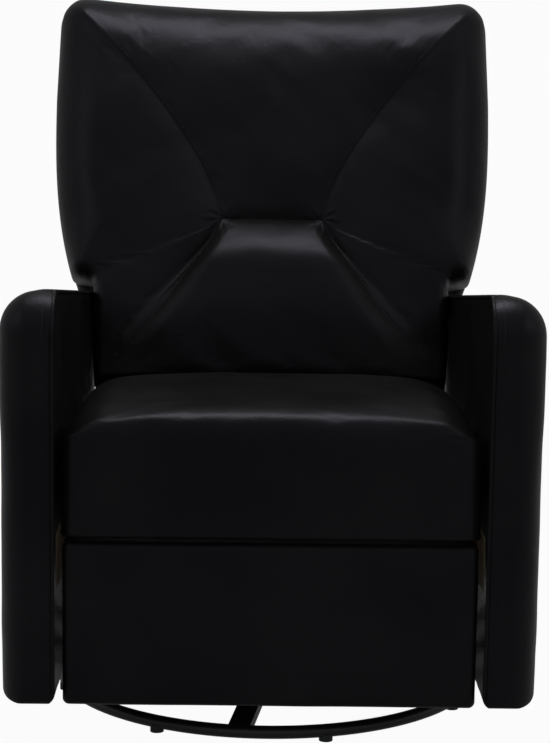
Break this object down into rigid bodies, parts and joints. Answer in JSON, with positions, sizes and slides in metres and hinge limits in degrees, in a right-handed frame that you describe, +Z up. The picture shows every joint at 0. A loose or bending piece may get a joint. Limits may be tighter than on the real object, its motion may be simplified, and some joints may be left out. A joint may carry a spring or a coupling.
{
  "type": "swivel glider recliner",
  "caption": "Upholstered recliner that swivels and glides on a round base ring; its seat slides forward as the back reclines, and a linkage lifts the footrest.",
  "frame": {"origin": "on the floor, below the middle of the chair's width and depth", "axes": "+X to the right in the front view, +Y to the rear, +Z up; the chair faces -Y"},
  "size_m": [0.75, 0.8823, 1.0636],
  "materials": {
    "black_leather": "glossy black bonded leather",
    "frame_wood": "raw",
    "black_steel": "black powder coat",
    "zinc_steel": "dark zinc",
    "bright_steel": "plated",
    "black_plastic": "fine texture"
  },
  "bodies": {
    "base": {"base_ring": "black_steel", "base_cross_arms": "black_steel", "swivel_lower_plate": "zinc_steel", "swivel_balls": "bright_steel", "swivel_pin": "bright_steel", "ring_glides": "black_plastic", "base_bolts": "bright_steel"},
    "carrier": {"swivel_upper_plate": "zinc_steel", "carrier_channels": "black_steel", "glide_tower_left": "black_steel", "glide_tower_right": "black_steel", "tower_bolts": "bright_steel", "glide_upper_pins": "bright_steel"},
    "glide_swing_front": {"glide_links_front": "black_steel"},
    "glide_swing_rear": {"glide_links_rear": "black_steel"},
    "chassis": {"hanger_left": "black_steel", "hanger_right": "black_steel", "glide_lower_pins": "bright_steel", "cross_tube_front": "black_steel", "cross_tube_rear": "black_steel", "side_plate_left": "zinc_steel", "side_plate_right": "zinc_steel", "swing_lower_pins": "bright_steel", "mechanism_bolts": "bright_steel", "arm_frame_left": "frame_wood", "arm_frame_right": "frame_wood", "arm_cover_left": "black_leather", "arm_cover_right": "black_leather", "rear_panel": "black_leather", "latch_cup": "black_plastic", "latch_pin": "bright_steel"},
    "latch": {"latch_paddle": "black_plastic"},
    "seat_swing_front": {"seat_links_front": "zinc_steel"},
    "seat_swing_rear": {"seat_links_rear": "zinc_steel"},
    "seat": {"seat_rail_left": "zinc_steel", "seat_rail_right": "zinc_steel", "swing_upper_pins": "bright_steel", "legrest_pivot_pins": "bright_steel", "back_hinge_pins": "bright_steel", "seat_side_rails": "frame_wood", "seat_cross_rails": "frame_wood", "seat_springs": "bright_steel", "seat_cushion": "black_leather", "seat_front_band": "black_leather"},
    "back": {"back_brackets": "zinc_steel", "back_posts": "frame_wood", "back_cross_rails": "frame_wood", "back_springs": "bright_steel", "back_shell": "black_leather", "back_cushion": "black_leather"},
    "legrest_drive": {"legrest_drive_links": "zinc_steel", "legrest_torque_tube": "zinc_steel", "drive_link_rivets": "bright_steel"},
    "legrest_front": {"legrest_front_links": "zinc_steel"},
    "legrest_long": {"legrest_long_links": "zinc_steel"},
    "legrest_short": {"legrest_short_links": "zinc_steel"},
    "footrest": {"footrest_brackets": "zinc_steel", "footrest_board": "frame_wood", "footrest_pad": "black_leather"}
  },
  "joints": [
    {"name": "swivel", "type": "hinge", "parent": "base", "child": "carrier", "pos_m": [0, -0.04, 0.029], "axis": [0, 0, 1], "continuous": true},
    {"name": "glide", "type": "hinge", "parent": "carrier", "child": "glide_swing_front", "pos_m": [0, -0.14, 0.222], "axis": [1, 0, 0], "range_deg": [-18, 18]},
    {"name": "glide_rear", "type": "hinge", "parent": "carrier", "child": "glide_swing_rear", "pos_m": [0, 0.06, 0.222], "axis": [1, 0, 0], "range_deg": [-18, 18]},
    {"name": "glide_level", "type": "hinge", "parent": "glide_swing_front", "child": "chassis", "pos_m": [0, -0.14, 0.097], "axis": [1, 0, 0], "range_deg": [-18, 18]},
    {"name": "recline", "type": "hinge", "parent": "chassis", "child": "seat_swing_front", "pos_m": [0, -0.17, 0.265], "axis": [1, 0, 0], "range_deg": [0, 42]},
    {"name": "recline_rear", "type": "hinge", "parent": "chassis", "child": "seat_swing_rear", "pos_m": [0, 0.07, 0.265], "axis": [1, 0, 0], "range_deg": [0, 42]},
    {"name": "seat_level", "type": "hinge", "parent": "seat_swing_front", "child": "seat", "pos_m": [0, -0.13, 0.33428], "axis": [1, 0, 0], "range_deg": [-42, 0]},
    {"name": "back_tilt", "type": "hinge", "parent": "seat", "child": "back", "pos_m": [0, 0.155, 0.395], "axis": [-1, 0, 0], "range_deg": [0, 38]},
    {"name": "legrest", "type": "hinge", "parent": "seat", "child": "legrest_drive", "pos_m": [0, -0.21, 0.285], "axis": [-1, 0, 0], "range_deg": [0, 95]},
    {"name": "legrest_front_turn", "type": "hinge", "parent": "seat", "child": "legrest_front", "pos_m": [0, -0.26502, 0.30893], "axis": [-1, 0, 0], "range_deg": [0, 95]},
    {"name": "legrest_long_turn", "type": "hinge", "parent": "legrest_drive", "child": "legrest_long", "pos_m": [0, -0.15047, 0.06284], "axis": [-1, 0, 0], "range_deg": [-95, 0]},
    {"name": "legrest_short_turn", "type": "hinge", "parent": "legrest_drive", "child": "legrest_short", "pos_m": [0, -0.16471, 0.11596], "axis": [-1, 0, 0], "range_deg": [-95, 0]},
    {"name": "footrest_turn", "type": "hinge", "parent": "legrest_long", "child": "footrest", "pos_m": [0, -0.36231, 0.15495], "axis": [-1, 0, 0], "range_deg": [0, 95]},
    {"name": "latch_pull", "type": "hinge", "parent": "chassis", "child": "latch", "pos_m": [0.3645, -0.1195, 0.5], "axis": [0, 0, 1], "range_deg": [0, 25], "stiffness_Nm_per_rad": 0.4}
  ],
  "couplings": [
    {"joint": "glide_rear", "follows": "glide", "ratio": 1},
    {"joint": "glide_level", "follows": "glide", "ratio": -1},
    {"joint": "recline_rear", "follows": "recline", "ratio": 1},
    {"joint": "seat_level", "follows": "recline", "ratio": -1},
    {"joint": "back_tilt", "follows": "recline", "ratio": 0.90476},
    {"joint": "legrest_front_turn", "follows": "legrest", "ratio": 1},
    {"joint": "legrest_long_turn", "follows": "legrest", "ratio": -1},
    {"joint": "legrest_short_turn", "follows": "legrest", "ratio": -1},
    {"joint": "footrest_turn", "follows": "legrest", "ratio": 1}
  ]
}
